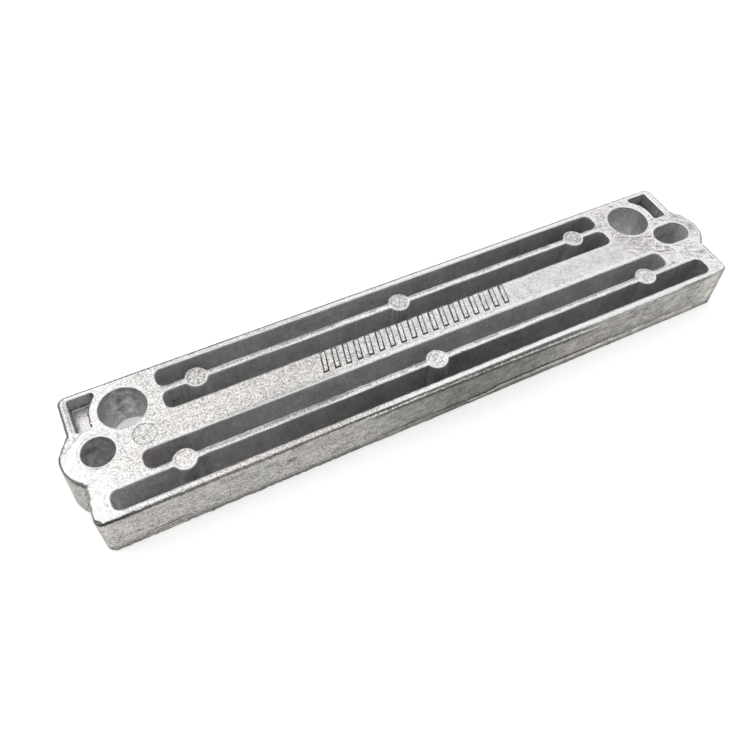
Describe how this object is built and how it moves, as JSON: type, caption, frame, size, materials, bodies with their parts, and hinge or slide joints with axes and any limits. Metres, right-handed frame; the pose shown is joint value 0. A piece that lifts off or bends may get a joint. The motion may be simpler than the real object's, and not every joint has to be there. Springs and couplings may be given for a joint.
{
  "type": "sacrificial anode",
  "caption": "Die-cast bar anode with long cored pockets, thin ribs and a rounded ear at each end, one with a bolt hole and one with a slot.",
  "frame": {"origin": "centre of the bounding box on the flat mounting face", "axes": "+X along the bar from the round bolt hole to the slot, +Y across the bar towards the side with the two relief holes, +Z out of the mounting face towards the open side of the pockets"},
  "size_m": [0.2098, 0.0418, 0.0155],
  "materials": {
    "cast_alloy": "as-cast, fine grained, satin"
  },
  "bodies": {
    "root": {"anode_casting": "cast_alloy"}
  },
  "joints": []
}
